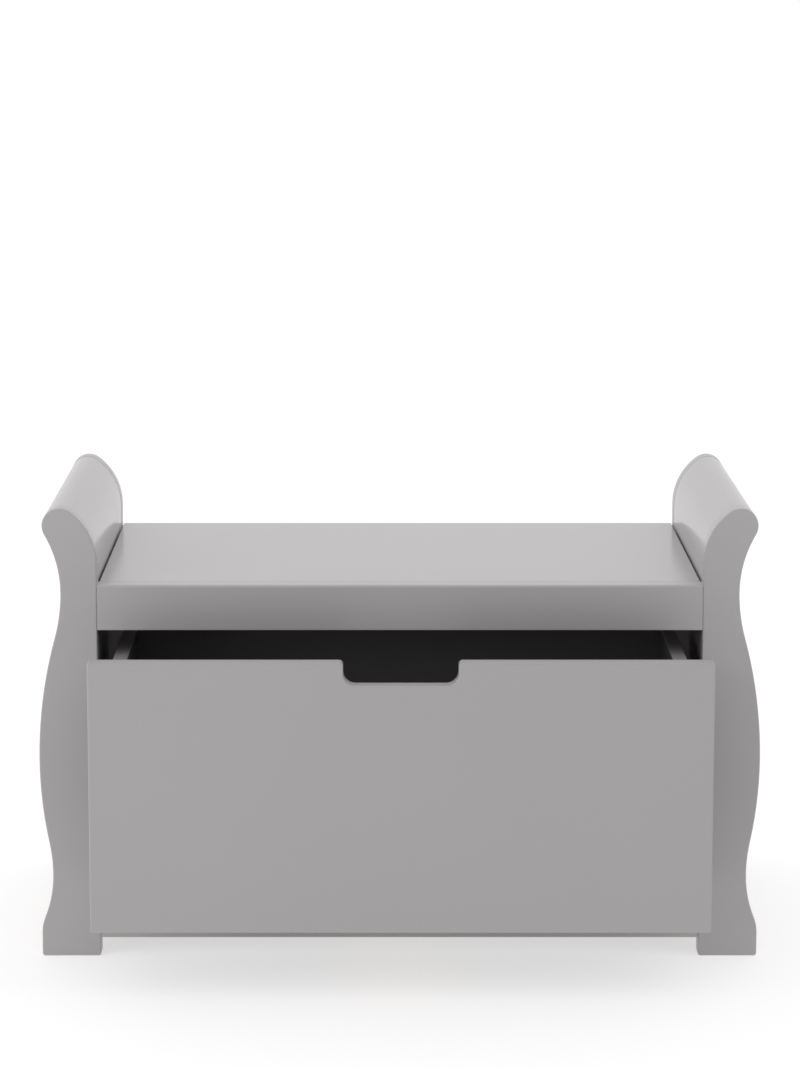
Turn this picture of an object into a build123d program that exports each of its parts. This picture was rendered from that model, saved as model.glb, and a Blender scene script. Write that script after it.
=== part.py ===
"""Bench toy box with scroll-topped S-shaped ends and one deep drawer on ball slides.

Millimetres, +Z up, +X to the right and -Y to the front. The origin is on the floor, midway
across the box and midway between the drawer's face and the back of the case. The drawer
stands partly open by drawer_open.
"""

from build123d import *
import os

os.makedirs("parts", exist_ok=True)

# ---------------------------------------------------------------- overall sizes
bay_width = 751.6  # clear width between the left and right posts
case_depth = 400.0  # faces of the front posts to the rear of the back posts
seat_height = 476.5  # floor to the top of the seat
drawer_open = 154.0  # how far the drawer stands out

# ---------------------------------------------------------------- boards
post_board = 22.0  # thickness of the posts and rails
seat_board = 18.0
drawer_board = 18.0
thin_board = 6.0  # liners, back panel and drawer bottom
skin_thickness = 6.0  # bent panel over each end
skin_inset = 0.3  # how far the bent panel lies below the posts' outline
groove_depth = 8.0
groove_slack = 0.3  # clearance on each side of a panel in its groove

# ---------------------------------------------------------------- outline of the ends
# Widths are measured outwards from the post's inner edge.
nose_radius = 22.0
nose_reach = 45.2  # centre of the scroll
nose_rise = 74.5  # centre of the scroll above the seat
shoulder_rise = 28.5  # where the inner edge starts to curl, above the seat
waist_width = 45.1
waist_drop = 9.5  # narrowest point under the scroll, below the seat
bulge_width = 74.2
bulge_height = 254.0
ankle_width = 59.2
ankle_height = 105.6
foot_width = 73.8
foot_height = 30.0
waist_turn = 0.27  # where each S-bend changes sense, as a share of its chord
bulge_turn = 0.717
ankle_turn = 0.7355
foot_corner = 3.5
post_ease = 1.6  # rounding along the posts' outer faces
seam_ease = 0.9  # rounding where the posts meet the bent panel

# ---------------------------------------------------------------- rails and seat
apron_height = 57.0
rail_height = 56.0
rail_clearance = 24.0  # floor to the underside of the bottom rails
apron_round = 3.0
edge_ease = 0.8
seat_gap = 1.5  # beside the seat at the posts
seat_seam = 0.4  # between the seat and the apron
cleat = 20.0  # square strips that carry the seat

# ---------------------------------------------------------------- drawer
front_side_gap = 1.5
front_top_gap = 4.0
front_bottom_gap = 2.0
front_corner = 2.6
front_round = 2.2
notch_width = 138.0
notch_depth = 28.2
notch_floor_radius = 15.0
notch_lip_radius = 5.0
side_length = 300.0
side_top_drop = 28.5  # tops of the sides below the top of the front
side_bottom_rise = 12.0  # undersides of the sides above the bottom of the front
panel_rise = 12.0  # drawer bottom above the undersides of the sides
batten_width = 60.0  # strip under the drawer bottom
box_ease = 1.6

# ---------------------------------------------------------------- ball slides
slide_length = 300.0
slide_height = 45.6
slide_thickness = 12.7
slide_steel = 1.2
slide_start_gap = 2.0  # slides start this far behind the drawer front's board
slide_level = 165.0  # centre line above the floor
middle_shortening = 10.0  # middle member shorter than the outer
inner_shortening = 4.0
web_gap = 1.4  # between the webs of the outer and middle members
flange_short = 3.2  # outer flanges stop this far short of the slide's thickness
lip_short = 1.5  # middle flanges stop this far short of it
access_length = 8.0  # screwdriver openings in the middle member, between their centres
access_width = 10.0
access_pitch = 75.0
access_count = 3
inner_reach = 7.7  # depth of the inner member's flanges
ball_radius = 1.95
race_slack = 0.1  # between a ball and each race
ball_pitch = 12.0
ball_count = 7
cage_fraction = 4  # the cages move in quarters of the drawer's travel
cage_margin = 6.0  # cage strip beyond its end balls
cage_width = 4.0
cage_thickness = 1.0
cage_setback = 100.0  # cages behind the slide's front end with the drawer shut
packer_thickness = 8.0
packer_height = 60.0

# ---------------------------------------------------------------- hidden battens in the ends
end_batten = 25.0
seat_batten_height = 44.0
end_rail_height = 24.0
liner_joint_drop = 44.0  # joint between bent panel and liner, below the seat
joint_overlap = 12.0  # the seat batten reaches this far below that joint
rod_slack = 0.2

# ---------------------------------------------------------------- fasteners
dowel_radius = 4.0
dowel_length = 30.0
dowel_chamfer = 0.8
hole_slack = 0.1
dowel_spread = 14.0  # dowels above and below the cam bolt in a 56 mm rail
narrow_spread = 10.0  # the same in the back top rail
cam_radius = 7.4
cam_length = 12.5
cam_distance = 34.0  # cam centre from the end of its board
bolt_thread_radius = 2.5
bolt_thread_length = 11.0
bolt_shaft_radius = 3.0
bolt_neck_radius = 2.0
bolt_neck_length = 4.0
bolt_head_radius = 3.3
bolt_head_length = 3.0
cam_bore_radius = 3.7
screw_radius = 2.0
screw_head_radius = 4.0
cleat_screw_length = 32.0
seat_screw_length = 30.0
slide_screw_length = 22.0
inner_screw_length = 13.0
wafer_height = 1.0
wafer_radius = 4.2
back_screw_length = 45.0
cam_rise = 20.0  # lower drawer cam above the slides' centre line
cam_drop = 91.0  # upper drawer cam below the tops of the sides
cam_slot = 11.8  # cross recess in a cam's face
cam_slot_width = 1.2
cam_slot_depth = 2.4
# Places of repeated fasteners, as shares of the board that they run along.
slide_screw_shares = (0.1, 0.45, 0.85)
side_cleat_shares = (0.1, 0.5, 0.9)
cross_cleat_shares = (-0.36, -0.12, 0.12, 0.36)
seat_screw_cross_shares = (-0.4, 0.0, 0.4)
seat_screw_side_shares = (0.25, 0.75)
inner_screw_shares = (0.12, 0.5, 0.88)
drawer_dowel_shares = (0.12, 0.5, 0.88)
back_screw_shares = (0.2, 0.5, 0.8)

# ---------------------------------------------------------------- derived places
bay_half = bay_width / 2
front_y = (drawer_open - case_depth) / 2
rear_y = front_y + case_depth
inside_front_y = front_y + post_board
inside_rear_y = rear_y - post_board
panel_length = inside_rear_y - inside_front_y

nose_height = seat_height + nose_rise
shoulder_height = seat_height + shoulder_rise
waist_height = seat_height - waist_drop
seat_underside = seat_height - seat_board
apron_bottom = seat_height - apron_height
rail_top = rail_clearance + rail_height
back_rail_height = seat_underside - apron_bottom
liner_face = bay_half + skin_inset
liner_back = liner_face + thin_board
liner_top = seat_height - liner_joint_drop

packer_face = liner_face - packer_thickness
side_face = packer_face - slide_thickness
side_inner = side_face - drawer_board
front_bottom = rail_top + front_bottom_gap
front_top = apron_bottom - front_top_gap
front_half = bay_half - front_side_gap
side_top = front_top - side_top_drop
side_bottom = front_bottom + side_bottom_rise
panel_bottom = side_bottom + panel_rise
drawer_y = front_y - drawer_open
box_y = drawer_y + drawer_board
box_end = box_y + side_length

seat_front_y = inside_front_y + seat_seam
back_mid_y = rear_y - post_board / 2
front_mid_y = front_y + post_board / 2
rail_mid = rail_clearance + rail_height / 2
apron_mid = apron_bottom + apron_height / 2
# The back rails' dowels keep clear of the groove in the rail's edge.
back_low_mid = rail_clearance + (rail_height - groove_depth) / 2
back_high_mid = apron_bottom + groove_depth + (back_rail_height - groove_depth) / 2

SIDES = (("left", -1), ("right", 1))


# ---------------------------------------------------------------- planes and shared profiles
def upright(y):
    """X-Z plane at y; a negative extrusion from it runs towards +Y."""
    return Plane.XZ.offset(-y)


def across(x, y, z, sign):
    """Plane at a point whose normal points along sign * X."""
    return Plane(origin=(x, y, z), x_dir=(0, 1, 0), z_dir=(sign, 0, 0))


def along(x, y, z, sign):
    """Plane at a point whose normal points along sign * Y."""
    return Plane(origin=(x, y, z), x_dir=(1, 0, 0), z_dir=(0, sign, 0))


def beneath(x, y, z):
    """Plane at a point whose normal points down."""
    return Plane(origin=(x, y, z), x_dir=(1, 0, 0), z_dir=(0, 0, -1))


def chord_point(start, end, share):
    return tuple(a + (b - a) * share for a, b in zip(start, end))


def away_from(centre, other, distance):
    """Point at a distance from centre, in the direction of other."""
    step = Vector(*other) - Vector(*centre)
    spot = Vector(*centre) + step.normalized() * distance
    return spot.X, spot.Y


def end_face(sign):
    """S-shaped end board: straight inner edge, scroll, waist, bulge, ankle and foot."""
    curl = nose_height - shoulder_height
    scroll_radius = nose_reach**2 + curl**2 - nose_radius**2
    scroll_radius /= 2 * (nose_reach - nose_radius)
    overhang = nose_reach - waist_width
    drop = nose_height - waist_height
    neck_radius = (overhang**2 + drop**2 - nose_radius**2) / (2 * (overhang + nose_radius))
    nose = (nose_reach, nose_height)
    scroll_centre = (scroll_radius, shoulder_height)
    neck_centre = (waist_width + neck_radius, waist_height)
    curl_end = away_from(scroll_centre, nose, scroll_radius)
    nose_end = away_from(nose, neck_centre, nose_radius)
    waist = (waist_width, waist_height)
    bulge = (bulge_width, bulge_height)
    ankle = (ankle_width, ankle_height)
    foot = (foot_width, foot_height)
    bends = ((waist, bulge, waist_turn), (bulge, ankle, bulge_turn), (ankle, foot, ankle_turn))

    def at(point):
        return sign * (bay_half + point[0]), point[1]

    with BuildSketch() as board:
        with BuildLine():
            inner = Line(at((0, 0)), at((0, shoulder_height)))
            scroll = TangentArc(inner @ 1, at(curl_end), tangent=(0, 1))
            top = TangentArc(scroll @ 1, at(nose_end), tangent=scroll % 1)
            last = TangentArc(top @ 1, at(waist), tangent=top % 1)
            for start, end, turn in bends:
                first = TangentArc(last @ 1, at(chord_point(start, end, turn)), tangent=last % 1)
                last = TangentArc(first @ 1, at(end), tangent=first % 1)
            Polyline(last @ 1, at((foot_width, 0)), at((0, 0)))
        make_face()
        fillet(board.vertices().group_by(Axis.Y)[0], radius=foot_corner)
    return board.sketch


def inset_face(sign, inset):
    """The end board's outline drawn in by an inset, open at the floor."""
    with BuildSketch() as inner:
        add(end_face(sign))
        offset(amount=-inset, mode=Mode.REPLACE)
        with Locations((sign * bay_half, 0)):
            Rectangle(4 * foot_width, 2 * rail_clearance, mode=Mode.SUBTRACT)
    return inner.sketch


def channel(sign, face, depth, half_height, web_outward):
    """C-section of a slide member in the X-Z plane, centred on the slide's level.

    face is the outer surface of the web; the flanges run for depth away from it.
    """
    step = -sign if web_outward else sign
    centre = sign * face + step * depth / 2
    hollow = sign * face + step * (slide_steel + depth / 2)
    with BuildSketch() as section:
        with Locations((centre, slide_level)):
            RectangleRounded(depth, 2 * half_height, slide_steel / 2)
        with Locations((hollow, slide_level)):
            Rectangle(depth, 2 * (half_height - slide_steel), mode=Mode.SUBTRACT)
    return section.sketch


def rail_joint_places(level, spread):
    """Heights of the lower dowel, the cam bolt and the upper dowel of a rail's end."""
    return level - spread, level, level + spread


RAIL_ENDS = (
    (front_mid_y, apron_mid, dowel_spread, 1),
    (front_mid_y, rail_mid, dowel_spread, 1),
    (back_mid_y, back_high_mid, narrow_spread, -1),
    (back_mid_y, back_low_mid, dowel_spread, -1),
)


# ---------------------------------------------------------------- fastener bodies
# Each is drawn with its head or inner end at the origin and its axis along -Z.
def countersunk_screw(length):
    with BuildPart() as screw:
        with BuildSketch(Plane.XZ):
            with BuildLine():
                Polyline(
                    (0, 0),
                    (screw_head_radius, 0),
                    (screw_radius, screw_radius - screw_head_radius),
                    (screw_radius, screw_radius - length),
                    (0, -length),
                    close=True,
                )
            make_face()
        revolve(axis=Axis.Z)
    return screw.part


def wafer_screw(length):
    with BuildPart() as screw:
        with BuildSketch(Plane.XZ):
            with BuildLine():
                Polyline(
                    (0, wafer_height),
                    (wafer_radius - wafer_height, wafer_height),
                    (wafer_radius, 0),
                    (screw_radius, 0),
                    (screw_radius, screw_radius - length),
                    (0, -length),
                    close=True,
                )
            make_face()
        revolve(axis=Axis.Z)
    return screw.part


def wooden_dowel():
    with BuildPart() as dowel:
        Cylinder(dowel_radius, dowel_length)
        chamfer(dowel.edges().filter_by(GeomType.CIRCLE), length=dowel_chamfer)
    return dowel.part


def cam_bolt():
    """Threaded end below the joint face, headed shaft above it, reaching into the cam."""
    head_end = cam_distance + bolt_head_length / 2
    neck_end = head_end - bolt_head_length
    neck_start = neck_end - bolt_neck_length
    with BuildPart() as bolt:
        with BuildSketch(Plane.XZ):
            with BuildLine():
                Polyline(
                    (0, -bolt_thread_length),
                    (bolt_thread_radius, -bolt_thread_length),
                    (bolt_thread_radius, 0),
                    (bolt_shaft_radius, 0),
                    (bolt_shaft_radius, neck_start),
                    (bolt_neck_radius, neck_start),
                    (bolt_neck_radius, neck_end),
                    (bolt_head_radius, neck_end),
                    (bolt_head_radius, head_end),
                    (0, head_end),
                    close=True,
                )
            make_face()
        revolve(axis=Axis.Z)
    return bolt.part


def cam_nut(bolt_depth):
    """Disc whose face is at the origin; the bolt enters along its X at bolt_depth."""
    with BuildPart() as cam:
        Cylinder(cam_radius, cam_length, align=(Align.CENTER, Align.CENTER, Align.MAX))
        with BuildSketch(Plane.XY):
            Rectangle(cam_slot, cam_slot_width)
            Rectangle(cam_slot_width, cam_slot)
        extrude(amount=-cam_slot_depth, mode=Mode.SUBTRACT)
        with BuildSketch(Plane.YZ.offset(-bolt_head_length)):
            with Locations((0, -bolt_depth)):
                Circle(cam_bore_radius)
        extrude(amount=2 * cam_radius, mode=Mode.SUBTRACT)
    return cam.part


def drill_joint(places, depth, radius):
    """Blind holes below each plane, a hair larger than what goes in."""
    with Locations(*places):
        Hole(radius + hole_slack, depth + hole_slack)


def save(part, label):
    part.label = label
    export_step(part, f"parts/{label}.step")


# ---------------------------------------------------------------- posts
def post_joints(sign, rails):
    """Dowel and bolt holes in a post's inner edge, for the rails that meet it."""
    for y, level, spread, _ in rails:
        low, middle, high = rail_joint_places(level, spread)
        dowels = [across(sign * bay_half, y, z, -sign) for z in (low, high)]
        drill_joint(dowels, dowel_length / 2, dowel_radius)
        bolts = [across(sign * bay_half, y, middle, -sign)]
        drill_joint(bolts, bolt_thread_length, bolt_thread_radius)


for name, sign in SIDES:
    with BuildPart() as front_post:
        with BuildSketch(upright(front_y)):
            add(end_face(sign))
        extrude(amount=-post_board)
        fillet(front_post.faces().sort_by(Axis.Y)[0].edges(), radius=post_ease)
        fillet(front_post.faces().sort_by(Axis.Y)[-1].edges(), radius=seam_ease)
        post_joints(sign, RAIL_ENDS[:2])
    save(front_post.part, f"front_post_{name}")

    with BuildPart() as back_post:
        with BuildSketch(upright(rear_y)):
            add(end_face(sign))
        extrude(amount=post_board)
        fillet(back_post.faces().sort_by(Axis.Y)[-1].edges(), radius=post_ease)
        fillet(back_post.faces().sort_by(Axis.Y)[0].edges(), radius=seam_ease)
        post_joints(sign, RAIL_ENDS[2:])
        # Groove for the edge of the back panel.
        with BuildSketch(across(sign * bay_half, back_mid_y, 0, -sign)) as slot:
            with Locations((0, -sign * (rail_top + apron_bottom) / 2)):
                Rectangle(
                    thin_board + 2 * groove_slack,
                    apron_bottom - rail_top + 2 * groove_depth,
                )
        extrude(amount=-groove_depth, mode=Mode.SUBTRACT)
    save(back_post.part, f"back_post_{name}")

# ---------------------------------------------------------------- bent panels, liners, end battens
seat_batten_bottom = liner_top - joint_overlap
cleat_screw_level = seat_underside - cleat / 2
slide_screw_places = [inside_front_y + share * slide_length for share in slide_screw_shares]
side_cleat_screws = [inside_front_y + share * panel_length for share in side_cleat_shares]


def slide_screw_planes(sign, face):
    return [across(sign * face, y, slide_level, -sign) for y in slide_screw_places]


def cleat_screw_planes(sign):
    x = sign * (liner_face - cleat)
    return [across(x, y, cleat_screw_level, -sign) for y in side_cleat_screws]


for name, sign in SIDES:
    with BuildPart() as scroll_panel:
        with BuildSketch(upright(inside_front_y)):
            add(inset_face(sign, skin_inset))
            add(inset_face(sign, skin_inset + skin_thickness), mode=Mode.SUBTRACT)
            with Locations((sign * liner_back, liner_top / 2)):
                Rectangle(4 * thin_board, liner_top, mode=Mode.SUBTRACT)
        extrude(amount=-panel_length)
        drill_joint(cleat_screw_planes(sign), cleat_screw_length, screw_radius)
    save(scroll_panel.part, f"scroll_panel_{name}")

    with BuildPart() as side_liner:
        with BuildSketch(upright(inside_front_y)):
            with Locations((sign * (liner_face + thin_board / 2), (rail_clearance + liner_top) / 2)):
                Rectangle(thin_board, liner_top - rail_clearance)
        extrude(amount=-panel_length)
        drill_joint(slide_screw_planes(sign, liner_face), thin_board, screw_radius)
    save(side_liner.part, f"side_liner_{name}")

    with BuildPart() as scroll_rod:
        with BuildSketch(upright(inside_front_y)):
            with Locations((sign * (bay_half + nose_reach), nose_height)):
                Circle(nose_radius - skin_inset - skin_thickness - rod_slack)
        extrude(amount=-panel_length)
    save(scroll_rod.part, f"scroll_rod_{name}")

    with BuildPart() as seat_batten:
        with BuildSketch(upright(inside_front_y)):
            centre = seat_batten_bottom + seat_batten_height / 2
            with Locations((sign * (liner_back + end_batten / 2), centre)):
                Rectangle(end_batten, seat_batten_height)
        extrude(amount=-panel_length)
        drill_joint(cleat_screw_planes(sign), cleat_screw_length, screw_radius)
    save(seat_batten.part, f"seat_batten_{name}")

    with BuildPart() as runner_batten:
        with BuildSketch(upright(inside_front_y)):
            with Locations((sign * (liner_back + end_batten / 2), slide_level)):
                Rectangle(end_batten, packer_height)
        extrude(amount=-panel_length)
        drill_joint(slide_screw_planes(sign, packer_face), slide_screw_length, screw_radius)
    save(runner_batten.part, f"runner_batten_{name}")

    with BuildPart() as end_rail:
        with BuildSketch(upright(inside_front_y)):
            add(inset_face(sign, skin_inset + skin_thickness))
            with Locations((sign * liner_back, rail_clearance)):
                Rectangle(
                    foot_width,
                    end_rail_height,
                    align=(Align.MIN if sign > 0 else Align.MAX, Align.MIN),
                    mode=Mode.INTERSECT,
                )
        extrude(amount=-panel_length)
    save(end_rail.part, f"end_bottom_rail_{name}")


# ---------------------------------------------------------------- rails
def rail_joints(y, level, spread, inward):
    """Dowel, bolt and cam holes in both ends of a rail; the cams open on its inner face."""
    low, middle, high = rail_joint_places(level, spread)
    for _, sign in SIDES:
        dowels = [across(sign * bay_half, y, z, sign) for z in (low, high)]
        drill_joint(dowels, dowel_length / 2, dowel_radius)
        bolts = [across(sign * bay_half, y, middle, sign)]
        drill_joint(bolts, cam_distance + bolt_head_length, bolt_head_radius)
        face = y + inward * post_board / 2
        cams = [along(sign * (bay_half - cam_distance), face, middle, inward)]
        drill_joint(cams, cam_length, cam_radius)


def cross_cleat_planes(y, inward):
    """Screws through the front or back seat cleat into its rail."""
    places = [share * bay_width for share in cross_cleat_shares]
    return [along(x, y, cleat_screw_level, inward) for x in places]


with BuildPart() as front_apron:
    with BuildSketch(upright(front_y)):
        with Locations((0, apron_mid)):
            Rectangle(bay_width, apron_height)
    extrude(amount=-post_board)
    front_edges = front_apron.faces().sort_by(Axis.Y)[0].edges()
    chamfer(front_edges.filter_by(Axis.Z), length=edge_ease)
    front_edges = front_apron.faces().sort_by(Axis.Y)[0].edges()
    fillet(front_edges.filter_by(Axis.X).sort_by(Axis.Z)[0], radius=edge_ease)
    front_edges = front_apron.faces().sort_by(Axis.Y)[0].edges()
    fillet(front_edges.filter_by(Axis.X).sort_by(Axis.Z)[-1], radius=apron_round)
    rail_joints(*RAIL_ENDS[0])
    drill_joint(cross_cleat_planes(inside_front_y + cleat, 1), cleat_screw_length, screw_radius)
save(front_apron.part, "front_apron")

with BuildPart() as front_bottom_rail:
    with BuildSketch(upright(front_y)):
        with Locations((0, rail_mid)):
            Rectangle(bay_width, rail_height)
    extrude(amount=-post_board)
    face = front_bottom_rail.faces().sort_by(Axis.Y)[0]
    chamfer(face.edges(), length=edge_ease)
    rail_joints(*RAIL_ENDS[1])
save(front_bottom_rail.part, "front_bottom_rail")

with BuildPart() as back_top_rail:
    with BuildSketch(upright(rear_y)):
        with Locations((0, apron_bottom + back_rail_height / 2)):
            Rectangle(bay_width, back_rail_height)
    extrude(amount=post_board)
    rail_joints(*RAIL_ENDS[2])
    drill_joint(cross_cleat_planes(inside_rear_y - cleat, -1), cleat_screw_length, screw_radius)
    with BuildSketch(Plane.XY.offset(apron_bottom)):
        with Locations((0, back_mid_y)):
            Rectangle(bay_width, thin_board + 2 * groove_slack)
    extrude(amount=groove_depth, mode=Mode.SUBTRACT)
save(back_top_rail.part, "back_top_rail")

with BuildPart() as back_bottom_rail:
    with BuildSketch(upright(rear_y)):
        with Locations((0, rail_mid)):
            Rectangle(bay_width, rail_height)
    extrude(amount=post_board)
    rail_joints(*RAIL_ENDS[3])
    with BuildSketch(Plane.XY.offset(rail_top)):
        with Locations((0, back_mid_y)):
            Rectangle(bay_width, thin_board + 2 * groove_slack)
    extrude(amount=-groove_depth, mode=Mode.SUBTRACT)
save(back_bottom_rail.part, "back_bottom_rail")

with BuildPart() as back_panel:
    tongue = groove_depth - groove_slack
    with BuildSketch(upright(back_mid_y - thin_board / 2)):
        with Locations((0, (rail_top + apron_bottom) / 2)):
            Rectangle(bay_width + 2 * tongue, apron_bottom - rail_top + 2 * tongue)
    extrude(amount=-thin_board)
save(back_panel.part, "back_panel")

# ---------------------------------------------------------------- seat and its cleats
# The cross cleats stop short of the cams in the rails behind them.
cross_cleat_half = bay_half - cam_distance - 2 * cam_radius
cross_cleat_centres = (inside_front_y + cleat / 2, inside_rear_y - cleat / 2)
cleat_bottom = seat_underside - cleat
seat_screw_places = [
    (share * bay_width, y) for y in cross_cleat_centres for share in seat_screw_cross_shares
]
seat_screw_places += [
    (sign * (liner_face - cleat / 2), inside_front_y + share * panel_length)
    for _, sign in SIDES
    for share in seat_screw_side_shares
]
seat_screw_planes = [beneath(x, y, cleat_bottom) for x, y in seat_screw_places]


def drill_seat_screws():
    with Locations(*seat_screw_planes):
        CounterSinkHole(
            screw_radius + hole_slack,
            screw_head_radius + hole_slack,
            seat_screw_length + hole_slack,
        )


def drill_cleat_screws(planes):
    with Locations(*planes):
        CounterSinkHole(
            screw_radius + hole_slack,
            screw_head_radius + hole_slack,
            cleat_screw_length + hole_slack,
        )


with BuildPart() as seat_panel:
    with BuildSketch(Plane.XY.offset(seat_underside)):
        with Locations((0, (seat_front_y + rear_y) / 2)):
            Rectangle(bay_width - 2 * seat_gap, rear_y - seat_front_y)
    extrude(amount=seat_board)
    fillet(seat_panel.faces().sort_by(Axis.Z)[-1].edges(), radius=edge_ease)
    drill_joint(seat_screw_planes, seat_screw_length, screw_radius)
save(seat_panel.part, "seat_panel")

for name, y, inward in (("front", inside_front_y, 1), ("back", inside_rear_y, -1)):
    with BuildPart() as cross_cleat:
        with BuildSketch(Plane.XY.offset(cleat_bottom)):
            with Locations((0, y + inward * cleat / 2)):
                Rectangle(2 * cross_cleat_half, cleat)
        extrude(amount=cleat)
        drill_seat_screws()
        drill_cleat_screws(cross_cleat_planes(y + inward * cleat, inward))
    save(cross_cleat.part, f"seat_cleat_{name}")

for name, sign in SIDES:
    with BuildPart() as side_cleat:
        with BuildSketch(Plane.XY.offset(cleat_bottom)):
            x = sign * (liner_face - cleat / 2)
            with Locations((x, (inside_front_y + inside_rear_y) / 2)):
                Rectangle(cleat, panel_length)
        extrude(amount=cleat)
        drill_seat_screws()
        drill_cleat_screws(cleat_screw_planes(sign))
    save(side_cleat.part, f"seat_cleat_{name}")

# ---------------------------------------------------------------- runners and ball slides
middle_travel = drawer_open / 2
half_height = slide_height / 2
race = 2 * (ball_radius + race_slack)
middle_half = half_height - slide_steel - race
inner_half = middle_half - slide_steel - race
slide_front_y = front_y + drawer_board + slide_start_gap
middle_face = packer_face - slide_steel - web_gap
inner_screw_places = [box_y + share * side_length for share in inner_screw_shares]


def inner_screw_planes(sign):
    face = side_face + slide_steel
    return [across(sign * face, y, slide_level, sign) for y in inner_screw_places]


def cage_strip(x, y, level):
    """Strip with its balls, lying along Y at one race."""
    length = (ball_count - 1) * ball_pitch + 2 * cage_margin
    with Locations((x, y + length / 2, level)):
        Box(cage_width, length, cage_thickness)
        with GridLocations(1, ball_pitch, 1, ball_count):
            Sphere(ball_radius)


for name, sign in SIDES:
    with BuildPart() as runner_packer:
        with BuildSketch(upright(inside_front_y)):
            with Locations((sign * (packer_face + packer_thickness / 2), slide_level)):
                Rectangle(packer_thickness, packer_height)
        extrude(amount=-panel_length)
        drill_joint(slide_screw_planes(sign, packer_face), slide_screw_length, screw_radius)
    save(runner_packer.part, f"runner_packer_{name}")

    with BuildPart() as slide_outer:
        with BuildSketch(upright(slide_front_y)):
            depth = slide_thickness - flange_short
            add(channel(sign, packer_face, depth, half_height, True))
        extrude(amount=-slide_length)
        drill_joint(
            slide_screw_planes(sign, packer_face - slide_steel), slide_screw_length, screw_radius
        )
    save(slide_outer.part, f"slide_outer_{name}")

    with BuildPart() as slide_middle:
        start = slide_front_y + middle_shortening / 2 - middle_travel
        with BuildSketch(upright(start)):
            depth = middle_face - side_face - lip_short
            add(channel(sign, middle_face, depth, middle_half, True))
        extrude(amount=middle_shortening - slide_length)
        # Openings that let a driver reach the screws of the outer member.
        middle_y = start + (slide_length - middle_shortening) / 2
        with BuildSketch(across(sign * middle_face, middle_y, slide_level, -sign)):
            with GridLocations(access_pitch, 1, access_count, 1):
                SlotCenterToCenter(access_length, access_width)
        extrude(amount=slide_steel, both=True, mode=Mode.SUBTRACT)
    save(slide_middle.part, f"slide_middle_{name}")

    with BuildPart() as slide_inner:
        with BuildSketch(upright(box_y + slide_start_gap)):
            add(channel(sign, side_face, inner_reach, inner_half, False))
        extrude(amount=inner_shortening - slide_length)
        drill_joint(inner_screw_planes(sign), inner_screw_length, screw_radius)
    save(slide_inner.part, f"slide_inner_{name}")

    outer_race = half_height - slide_steel - race / 2
    inner_race = middle_half - slide_steel - race / 2
    outer_x = middle_face - cage_width
    inner_x = side_face + slide_steel + cage_width
    cage_front = slide_front_y + cage_setback
    with BuildPart() as ball_cage_outer:
        for level in (slide_level - outer_race, slide_level + outer_race):
            cage_strip(sign * outer_x, cage_front - drawer_open / cage_fraction, level)
    save(ball_cage_outer.part, f"ball_cage_outer_{name}")

    with BuildPart() as ball_cage_inner:
        for level in (slide_level - inner_race, slide_level + inner_race):
            cage_strip(sign * inner_x, cage_front - drawer_open + drawer_open / cage_fraction, level)
    save(ball_cage_inner.part, f"ball_cage_inner_{name}")

# ---------------------------------------------------------------- drawer
side_mid = side_face - drawer_board / 2
box_height = side_top - side_bottom
front_dowel_levels = [side_bottom + share * box_height for share in drawer_dowel_shares]
front_cam_levels = (slide_level + cam_rise, side_top - cam_drop)
back_screw_levels = [side_bottom + share * box_height for share in back_screw_shares]
front_dowel_depth = drawer_board - groove_depth
back_y = box_end - drawer_board / 2


def front_joint_planes(sign, levels, facing):
    return [along(sign * side_mid, box_y, z, facing) for z in levels]


def drawer_cam_planes(sign):
    return [
        across(sign * side_inner, box_y + cam_distance, z, -sign) for z in front_cam_levels
    ]


def back_screw_planes(sign):
    return [across(sign * side_face, back_y, z, sign) for z in back_screw_levels]


def bottom_groove(width, length, y):
    """Groove for the drawer bottom's edge, cut at the panel's level."""
    with BuildSketch(Plane.XY.offset(panel_bottom - groove_slack)) as groove:
        with Locations((0, y)):
            Rectangle(width, length)
    extrude(groove.sketch, amount=thin_board + 2 * groove_slack, mode=Mode.SUBTRACT)


with BuildPart() as drawer_front:
    with BuildSketch(upright(drawer_y)) as front_shape:
        with Locations((0, (front_bottom + front_top) / 2)):
            RectangleRounded(2 * front_half, front_top - front_bottom, front_corner)
        with Locations((0, front_top)):
            Rectangle(notch_width, 2 * notch_depth, mode=Mode.SUBTRACT)
        inner = front_shape.vertices().filter_by_position(
            Axis.X, -notch_width / 2 - 1, notch_width / 2 + 1
        )
        fillet(inner.group_by(Axis.Y)[0], radius=notch_floor_radius)
        lip = front_shape.vertices().filter_by_position(
            Axis.X, -notch_width / 2 - 1, notch_width / 2 + 1
        )
        fillet(lip.group_by(Axis.Y)[-1], radius=notch_lip_radius)
    extrude(amount=-drawer_board)
    fillet(drawer_front.faces().sort_by(Axis.Y)[0].edges(), radius=front_round)
    fillet(drawer_front.faces().sort_by(Axis.Y)[-1].edges(), radius=edge_ease)
    bottom_groove(2 * (side_inner + groove_depth), 2 * groove_depth, box_y)
    for _, sign in SIDES:
        dowels = front_joint_planes(sign, front_dowel_levels, 1)
        drill_joint(dowels, front_dowel_depth, dowel_radius)
        bolts = front_joint_planes(sign, front_cam_levels, 1)
        drill_joint(bolts, bolt_thread_length, bolt_thread_radius)
save(drawer_front.part, "drawer_front")

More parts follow.
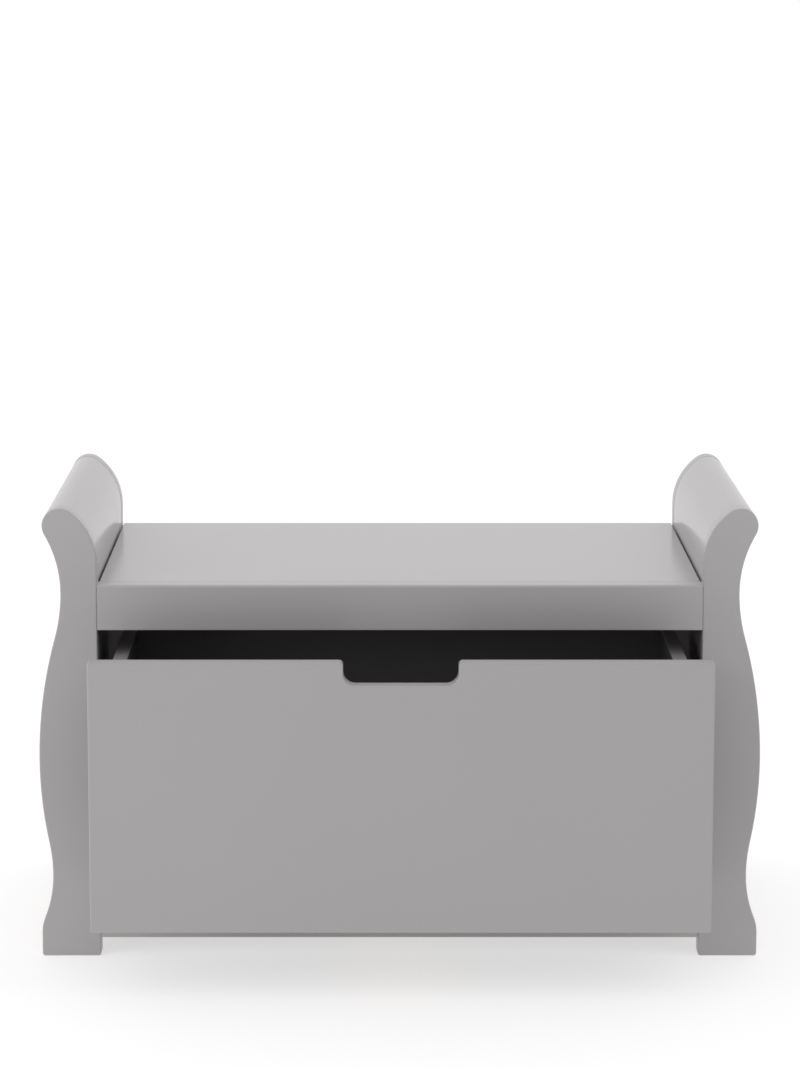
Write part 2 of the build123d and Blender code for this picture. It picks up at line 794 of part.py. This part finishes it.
for name, sign in SIDES:
    with BuildPart() as drawer_side:
        with BuildSketch(across(sign * side_inner, box_y + side_length / 2, 0, sign)):
            with Locations((0, sign * (side_bottom + side_top) / 2)):
                Rectangle(side_length, box_height)
        extrude(amount=drawer_board)
        top_edges = drawer_side.faces().sort_by(Axis.Z)[-1].edges().filter_by(Axis.Y)
        fillet(top_edges, radius=box_ease)
        bottom_groove(2 * (side_inner + groove_depth), side_length, box_y + side_length / 2)
        dowels = front_joint_planes(sign, front_dowel_levels, -1)
        drill_joint(dowels, dowel_length - front_dowel_depth, dowel_radius)
        bolts = front_joint_planes(sign, front_cam_levels, -1)
        drill_joint(bolts, cam_distance + bolt_head_length, bolt_head_radius)
        drill_joint(drawer_cam_planes(sign), cam_length, cam_radius)
        drill_joint(inner_screw_planes(sign), inner_screw_length, screw_radius)
        with Locations(*back_screw_planes(sign)):
            CounterSinkHole(
                screw_radius + hole_slack,
                screw_head_radius + hole_slack,
                back_screw_length + hole_slack,
            )
    save(drawer_side.part, f"drawer_side_{name}")

with BuildPart() as drawer_back:
    with BuildSketch(upright(box_end - drawer_board)):
        with Locations((0, (side_bottom + side_top) / 2)):
            Rectangle(2 * side_inner, box_height)
    extrude(amount=-drawer_board)
    top_edges = drawer_back.faces().sort_by(Axis.Z)[-1].edges().filter_by(Axis.X)
    fillet(top_edges, radius=box_ease)
    bottom_groove(2 * side_inner, 2 * groove_depth, box_end - drawer_board)
    for _, sign in SIDES:
        drill_joint(back_screw_planes(sign), back_screw_length, screw_radius)
save(drawer_back.part, "drawer_back")

panel_front = box_y - groove_depth + groove_slack
panel_rear = box_end - drawer_board + groove_depth - groove_slack
with BuildPart() as drawer_bottom:
    with BuildSketch(Plane.XY.offset(panel_bottom)):
        with Locations((0, (panel_front + panel_rear) / 2)):
            Rectangle(2 * (side_inner + groove_depth - groove_slack), panel_rear - panel_front)
    extrude(amount=thin_board)
save(drawer_bottom.part, "drawer_bottom")

with BuildPart() as drawer_bottom_batten:
    with BuildSketch(Plane.XY.offset(side_bottom)):
        with Locations((0, (box_y + box_end - drawer_board) / 2)):
            Rectangle(batten_width, side_length - drawer_board)
    extrude(amount=panel_rise)
save(drawer_bottom_batten.part, "drawer_bottom_batten")


# ---------------------------------------------------------------- fasteners
def save_group(label, fastener, planes):
    """Identical fasteners, one separate solid at each plane."""
    with BuildPart() as group:
        with Locations(*planes):
            add(fastener)
    save(group.part, label)


rail_dowel_planes = []
rail_bolt_planes = []
rail_cam_planes = []
for y, level, spread, inward in RAIL_ENDS:
    low, middle, high = rail_joint_places(level, spread)
    for _, sign in SIDES:
        rail_dowel_planes += [across(sign * bay_half, y, z, sign) for z in (low, high)]
        rail_bolt_planes.append(across(sign * bay_half, y, middle, -sign))
        centre = (sign * (bay_half - cam_distance), y + inward * post_board / 2, middle)
        towards_end = (sign, 0, 0)
        rail_cam_planes.append(Plane(origin=centre, x_dir=towards_end, z_dir=(0, inward, 0)))

save_group("rail_dowels", wooden_dowel(), rail_dowel_planes)
save_group("rail_cam_bolts", cam_bolt(), rail_bolt_planes)
save_group("rail_cam_nuts", cam_nut(post_board / 2), rail_cam_planes)

slide_screw_list = []
inner_screw_list = []
cleat_screw_list = cross_cleat_planes(inside_front_y + cleat, 1)
cleat_screw_list += cross_cleat_planes(inside_rear_y - cleat, -1)
drawer_dowel_planes = []
drawer_bolt_planes = []
drawer_cam_list = []
back_screw_list = []
dowel_shift = dowel_length / 2 - front_dowel_depth
for _, sign in SIDES:
    slide_screw_list += slide_screw_planes(sign, packer_face - slide_steel)
    inner_screw_list += inner_screw_planes(sign)
    cleat_screw_list += cleat_screw_planes(sign)
    drawer_dowel_planes += [
        plane.offset(dowel_shift) for plane in front_joint_planes(sign, front_dowel_levels, 1)
    ]
    drawer_bolt_planes += front_joint_planes(sign, front_cam_levels, 1)
    back_screw_list += back_screw_planes(sign)
    for z in front_cam_levels:
        centre = (sign * side_inner, box_y + cam_distance, z)
        drawer_cam_list.append(Plane(origin=centre, x_dir=(0, -1, 0), z_dir=(-sign, 0, 0)))

save_group("slide_screws", wafer_screw(slide_screw_length), slide_screw_list)
save_group("drawer_slide_screws", wafer_screw(inner_screw_length), inner_screw_list)
save_group("cleat_screws", countersunk_screw(cleat_screw_length), cleat_screw_list)
save_group("seat_screws", countersunk_screw(seat_screw_length), seat_screw_planes)
save_group("drawer_dowels", wooden_dowel(), drawer_dowel_planes)
save_group("drawer_cam_bolts", cam_bolt(), drawer_bolt_planes)
save_group("drawer_cam_nuts", cam_nut(drawer_board / 2), drawer_cam_list)
save_group("drawer_back_screws", countersunk_screw(back_screw_length), back_screw_list)
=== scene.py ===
"""Looks for the bench toy box: sprayed grey lacquer outside, pine, beech and steel inside.

Metres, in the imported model's frame: +Z up, -Y to the front, the floor at z = 0.
"""

import math

import bmesh
import bpy
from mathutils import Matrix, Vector

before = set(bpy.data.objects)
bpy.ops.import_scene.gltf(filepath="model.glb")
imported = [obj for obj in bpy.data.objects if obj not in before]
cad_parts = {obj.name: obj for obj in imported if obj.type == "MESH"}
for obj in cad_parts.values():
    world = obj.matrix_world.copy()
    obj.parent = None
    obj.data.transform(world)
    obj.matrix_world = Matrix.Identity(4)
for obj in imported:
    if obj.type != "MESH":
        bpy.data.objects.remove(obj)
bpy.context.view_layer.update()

# ---------------------------------------------------------------- finishes
GREY = (0.372, 0.363, 0.366)  # sprayed lacquer, linear colour
LACQUER_IOR = 1.5
PEEL_SIZE = 0.0026  # orange peel of the sprayed coat
PEEL_DEPTH = 0.000006
CLOUD_SIZE = 0.16  # slow drift of tone across a board
FLECK_SIZE = 0.0018  # pigment and fine dust in the coat
FLECK_TONE = 1.02
SHEEN_DRIFT = 0.012  # how far the roughness strays either way

PINE_EARLY = (0.60, 0.46, 0.30)
PINE_LATE = (0.43, 0.28, 0.15)
RING_SPACING = 0.0045
FIBRE_SIZE = 0.0012
FIBRE_DEPTH = 0.00008
RING_DEPTH = 0.00005
BEECH = (0.58, 0.36, 0.20)
BEECH_FLECK = (0.38, 0.20, 0.10)
RAY_SIZE = 0.0009
RAY_DEPTH = 0.00006
STEEL = (0.56, 0.57, 0.58)
ZINC = (0.60, 0.58, 0.52)
BRUSH_SIZE = 0.0008
SPANGLE_SIZE = 0.004
METAL_RELIEF = 0.00001
ROLLED = (1.0, 0.04, 1.0)  # marks drawn out along Y
EVEN = (1.0, 1.0, 1.0)

# ---------------------------------------------------------------- stage and camera
FLOOR_RADIUS = 70.0
FLOOR_TONE = 0.45
FLOOR_GLOW = 0.6
WORLD_LIGHT = 1.03
WORLD_COLOUR = (1.0, 0.978, 0.986)
FRONT_DIMMING = 0.5  # share of the light missing low down in front, on the camera's side
KEY_PLACE = (-3.2, -2.2, 1.1)
KEY_AIM = (0.0, 0.0, 0.3)
KEY_SIZE = 1.6
KEY_POWER = 24.0
CAMERA_PLACE = Vector((-0.031, -3.769, 1.273))
CAMERA_PITCH = math.radians(8.0)
LENS_MM = 101.4
SHIFT_ACROSS = 0.0235
SHIFT_UP = -0.1644


# ---------------------------------------------------------------- node helpers
def new_material(name):
    material = bpy.data.materials.new(name)
    material.use_nodes = True
    tree = material.node_tree
    shader = next(node for node in tree.nodes if node.type == "BSDF_PRINCIPLED")
    return material, tree, shader


def object_position(tree):
    """Place on the object in metres, the same for every piece."""
    return tree.nodes.new("ShaderNodeTexCoord").outputs["Object"]


def object_direction(tree):
    """Direction of a world ray."""
    return tree.nodes.new("ShaderNodeTexCoord").outputs["Generated"]


def stretched(tree, vector, scale):
    """Coordinates scaled along each axis, for grain and brush marks."""
    mapping = tree.nodes.new("ShaderNodeMapping")
    mapping.inputs["Scale"].default_value = scale
    tree.links.new(vector, mapping.inputs["Vector"])
    return mapping.outputs["Vector"]


def noise(tree, vector, size, detail=2.0, roughness=0.5, distortion=0.0):
    """Noise whose features are about one size across."""
    node = tree.nodes.new("ShaderNodeTexNoise")
    node.inputs["Scale"].default_value = 1 / size
    node.inputs["Detail"].default_value = detail
    node.inputs["Roughness"].default_value = roughness
    node.inputs["Distortion"].default_value = distortion
    tree.links.new(vector, node.inputs["Vector"])
    return node.outputs["Fac"]


def spread(tree, value, low, high, start=0.3, end=0.7):
    """The value's middle range stretched to run from low to high."""
    node = tree.nodes.new("ShaderNodeMapRange")
    node.inputs["From Min"].default_value = start
    node.inputs["From Max"].default_value = end
    node.inputs["To Min"].default_value = low
    node.inputs["To Max"].default_value = high
    tree.links.new(value, node.inputs["Value"])
    return node.outputs["Result"]


def combine(tree, operation, first, second):
    node = tree.nodes.new("ShaderNodeMath")
    node.operation = operation
    for socket, value in zip(node.inputs, (first, second)):
        if isinstance(value, float):
            socket.default_value = value
        else:
            tree.links.new(value, socket)
    return node.outputs[0]


def axis_values(tree, vector):
    """The vector's X, Y and Z parts."""
    parts = tree.nodes.new("ShaderNodeSeparateXYZ")
    tree.links.new(vector, parts.inputs["Vector"])
    return parts.outputs


def blend_colours(tree, factor, first, second):
    """Mix of two colours, each a fixed colour or another node's output."""
    node = tree.nodes.new("ShaderNodeMix")
    node.data_type = "RGBA"
    tree.links.new(factor, node.inputs["Factor"])
    for socket, colour in ((node.inputs[6], first), (node.inputs[7], second)):
        if isinstance(colour, tuple):
            socket.default_value = (*colour, 1.0)
        else:
            tree.links.new(colour, socket)
    return node.outputs[2]


def add_bump(tree, shader, layers):
    """Bump layers, each (height, depth in metres), stacked onto the shader's normal."""
    normal = None
    for height, depth in layers:
        node = tree.nodes.new("ShaderNodeBump")
        node.inputs["Strength"].default_value = 1.0
        node.inputs["Distance"].default_value = depth
        tree.links.new(height, node.inputs["Height"])
        if normal is not None:
            tree.links.new(normal, node.inputs["Normal"])
        normal = node.outputs["Normal"]
    tree.links.new(normal, shader.inputs["Normal"])


def shade(colour, factor):
    return tuple(channel * factor for channel in colour)


# ---------------------------------------------------------------- materials
def lacquer(name, tone=1.0, roughness=0.3, drift=0.012, painted_outward_tone=None):
    """Sprayed satin lacquer: slow tone drift, fine flecks, orange peel, uneven sheen.

    With a painted outward tone, top edges and faces that look away from the middle have that
    tone,
    and faces that look inwards the other: painted light and shade, lighter where the faces
    are open to light and darker where shade falls inside.
    """
    material, tree, shader = new_material(name)
    place = object_position(tree)
    cloud = noise(tree, place, CLOUD_SIZE, detail=3.0)
    fleck = noise(tree, place, FLECK_SIZE, detail=1.0)
    base = shade(GREY, tone)
    clouded = blend_colours(tree, cloud, shade(base, 1 - drift), shade(base, 1 + drift))
    flecked = spread(tree, fleck, 0.0, 1.0, 0.62, 0.8)
    colour = blend_colours(tree, flecked, clouded, shade(base, FLECK_TONE))
    # Painted light and shade: faces turned up or outwards get the lighter tone, faces turned
    # inwards the darker one.
    if painted_outward_tone is not None:
        facing = axis_values(tree, tree.nodes.new("ShaderNodeNewGeometry").outputs["True Normal"])
        top = spread(tree, facing["Z"], 0.0, 1.0, 0.4, 0.6)
        sideways = combine(tree, "MULTIPLY", facing["X"], axis_values(tree, place)["X"])
        painted_lit_faces = combine(tree, "MAXIMUM", top, spread(tree, sideways, 0.0, 1.0, 0.1, 0.2))
        colour = blend_colours(tree, painted_lit_faces, colour, shade(GREY, painted_outward_tone))
    tree.links.new(colour, shader.inputs["Base Color"])
    sheen_drift = noise(tree, place, CLOUD_SIZE / 2, detail=2.0)
    tree.links.new(
        spread(tree, sheen_drift, roughness - SHEEN_DRIFT, roughness + SHEEN_DRIFT),
        shader.inputs["Roughness"],
    )
    shader.inputs["IOR"].default_value = LACQUER_IOR
    peel = noise(tree, place, PEEL_SIZE, detail=2.0, roughness=0.6)
    add_bump(tree, shader, [(peel, PEEL_DEPTH), (fleck, PEEL_DEPTH / 4)])
    return material


def pine(name):
    """Planed pine with growth rings along Y."""
    material, tree, shader = new_material(name)
    place = object_position(tree)
    grain = stretched(tree, place, (1.0, 0.06, 1.0))
    rings = tree.nodes.new("ShaderNodeTexWave")
    rings.wave_type = "RINGS"
    rings.rings_direction = "Y"
    rings.wave_profile = "SAW"
    rings.inputs["Scale"].default_value = 0.05 / RING_SPACING
    rings.inputs["Distortion"].default_value = 5.0
    rings.inputs["Detail"].default_value = 2.0
    rings.inputs["Detail Scale"].default_value = 3.0
    tree.links.new(grain, rings.inputs["Vector"])
    fibre = noise(tree, stretched(tree, place, (1.0, 0.03, 1.0)), FIBRE_SIZE, detail=3.0)
    ringed = blend_colours(tree, rings.outputs["Fac"], PINE_EARLY, PINE_LATE)
    streaks = spread(tree, fibre, 0.0, 0.35)
    tree.links.new(
        blend_colours(tree, streaks, ringed, shade(PINE_LATE, 0.8)), shader.inputs["Base Color"]
    )
    tree.links.new(spread(tree, fibre, 0.55, 0.75), shader.inputs["Roughness"])
    add_bump(tree, shader, [(fibre, FIBRE_DEPTH), (rings.outputs["Fac"], RING_DEPTH)])
    return material


def beech(name):
    """Turned beech with short dark rays."""
    material, tree, shader = new_material(name)
    place = object_position(tree)
    rays = noise(tree, stretched(tree, place, (0.15, 1.0, 1.0)), RAY_SIZE, detail=2.0)
    tint = noise(tree, place, 0.02, detail=2.0)
    warm = blend_colours(tree, tint, BEECH, shade(BEECH, 0.86))
    marks = spread(tree, rays, 0.0, 0.8, 0.55, 0.75)
    tree.links.new(blend_colours(tree, marks, warm, BEECH_FLECK), shader.inputs["Base Color"])
    tree.links.new(spread(tree, rays, 0.5, 0.62), shader.inputs["Roughness"])
    add_bump(tree, shader, [(rays, RAY_DEPTH)])
    return material


def plated_metal(name, colour, roughness, brush=ROLLED):
    """Zinc-plated metal with rolling marks and a faint spangle."""
    material, tree, shader = new_material(name)
    place = object_position(tree)
    marks = noise(tree, stretched(tree, place, brush), BRUSH_SIZE, detail=3.0)
    spangle = noise(tree, place, SPANGLE_SIZE, detail=2.0, roughness=0.7)
    tree.links.new(
        blend_colours(tree, spangle, shade(colour, 0.85), shade(colour, 1.12)),
        shader.inputs["Base Color"],
    )
    shader.inputs["Metallic"].default_value = 1.0
    dulled = spread(tree, marks, roughness - 0.06, roughness + 0.1)
    tree.links.new(dulled, shader.inputs["Roughness"])
    add_bump(tree, shader, [(marks, METAL_RELIEF), (spangle, METAL_RELIEF)])
    return material


def floor_paint(name):
    """Matte white studio floor that glows: painted light, which keeps its shadows pale and lights
    the case from below.
    """
    material, tree, shader = new_material(name)
    place = object_position(tree)
    drift = noise(tree, place, 0.8, detail=2.0)
    white = (FLOOR_TONE, FLOOR_TONE, FLOOR_TONE)
    tree.links.new(
        blend_colours(tree, drift, white, shade(white, 0.995)), shader.inputs["Base Color"]
    )
    tree.links.new(spread(tree, drift, 0.7, 0.8), shader.inputs["Roughness"])
    shader.inputs["Specular IOR Level"].default_value = 0.1
    # Painted light: the floor glows though it is no lamp.
    shader.inputs["Emission Color"].default_value = (1.0, 1.0, 1.0, 1.0)
    shader.inputs["Emission Strength"].default_value = FLOOR_GLOW
    return material


FINISHES = {
    "case_lacquer": lacquer("grey lacquer on the case"),
    # Painted shade: the bent ends, seat and drawer front are darker copies of the one grey
    # lacquer, toned down where light falls on them strongly.
    "end_lacquer": lacquer("grey lacquer on the bent ends, toned down as painted shade", tone=0.95, roughness=0.22),
    "seat_lacquer": lacquer("grey lacquer on the seat, toned down as painted shade", tone=0.91, roughness=0.19),
    "drawer_front_lacquer": lacquer("grey lacquer on the drawer front", tone=0.93),
    # Painted shade: the drawer's grey lacquer is darkened, most on inward faces and less on tops
    # and outward faces, standing in for the shade inside the drawer.
    "drawer_box_lacquer": lacquer(
        "grey lacquer in the drawer with painted shade and light", tone=0.24, roughness=0.5, painted_outward_tone=0.7
    ),
    # Painted shade: the case's inside lacquer is darkened to stand in for the shade inside the
    # case.
    "liner_lacquer": lacquer("grey lacquer inside the case, darkened as painted shade", tone=0.4, roughness=0.5),
    # Painted shade: the drawer bottom is darkened to stand in for the shade inside the drawer.
    "drawer_bottom_board": lacquer("grey drawer bottom, darkened as painted shade", tone=0.3, roughness=0.45, drift=0.05),
    "softwood": pine("planed pine"),
    "beech_dowel": beech("turned beech"),
    "slide_steel": plated_metal("rolled steel of the slides", STEEL, 0.3),
    "ball_cage_steel": plated_metal("ball and cage steel", STEEL, 0.2),
    "cam_zinc": plated_metal("cast zinc of the cams", ZINC, 0.42, EVEN),
    "screw_zinc": plated_metal("plated screws", ZINC, 0.28, EVEN),
}

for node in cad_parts.values():
    for slot in node.material_slots:
        slot.material = FINISHES[slot.material.name]


# ---------------------------------------------------------------- stage
def studio_floor():
    mesh = bpy.data.meshes.new("studio_floor")
    shape = bmesh.new()
    bmesh.ops.create_circle(shape, cap_ends=True, radius=FLOOR_RADIUS, segments=96)
    shape.to_mesh(mesh)
    shape.free()
    mesh.materials.append(floor_paint("studio floor"))
    floor = bpy.data.objects.new("studio_floor", mesh)
    bpy.context.scene.collection.objects.link(floor)


def soft_light(name, place, aim, size, power):
    """Square softbox at a place, turned towards its aim."""
    data = bpy.data.lights.new(name, "AREA")
    data.shape = "SQUARE"
    data.size = size
    data.energy = power
    light = bpy.data.objects.new(name, data)
    light.location = place
    light.rotation_euler = (Vector(aim) - Vector(place)).to_track_quat("-Z", "Y").to_euler()
    bpy.context.scene.collection.objects.link(light)


def white_surround():
    """White all round, but with little light from low down in front."""
    world = bpy.data.worlds.new("white surround")
    world.use_nodes = True
    tree = world.node_tree
    sky = next(node for node in tree.nodes if node.type == "BACKGROUND")
    axes = axis_values(tree, object_direction(tree))
    low = spread(tree, axes["Z"], 1.0, 0.0, 0.2, 0.6)
    front = spread(tree, axes["Y"], 1.0, 0.0, -0.5, 0.1)
    missing = combine(tree, "MULTIPLY", combine(tree, "MULTIPLY", low, front), FRONT_DIMMING)
    seen = tree.nodes.new("ShaderNodeLightPath").outputs["Is Camera Ray"]
    light = combine(tree, "MAXIMUM", combine(tree, "SUBTRACT", 1.0, missing), seen)
    tree.links.new(combine(tree, "MULTIPLY", light, WORLD_LIGHT), sky.inputs["Strength"])
    sky.inputs["Color"].default_value = (*WORLD_COLOUR, 1.0)
    bpy.context.scene.world = world


def camera():
    data = bpy.data.cameras.new("camera")
    data.lens = LENS_MM
    data.shift_x = SHIFT_ACROSS
    data.shift_y = SHIFT_UP
    data.clip_end = 2 * FLOOR_RADIUS
    view = bpy.data.objects.new("camera", data)
    view.location = CAMERA_PLACE
    view.rotation_euler = (math.pi / 2 - CAMERA_PITCH, 0.0, 0.0)
    bpy.context.scene.collection.objects.link(view)
    bpy.context.scene.camera = view


studio_floor()
white_surround()
soft_light("key softbox", KEY_PLACE, KEY_AIM, KEY_SIZE, KEY_POWER)
camera()
bpy.context.scene.view_settings.view_transform = "Standard"
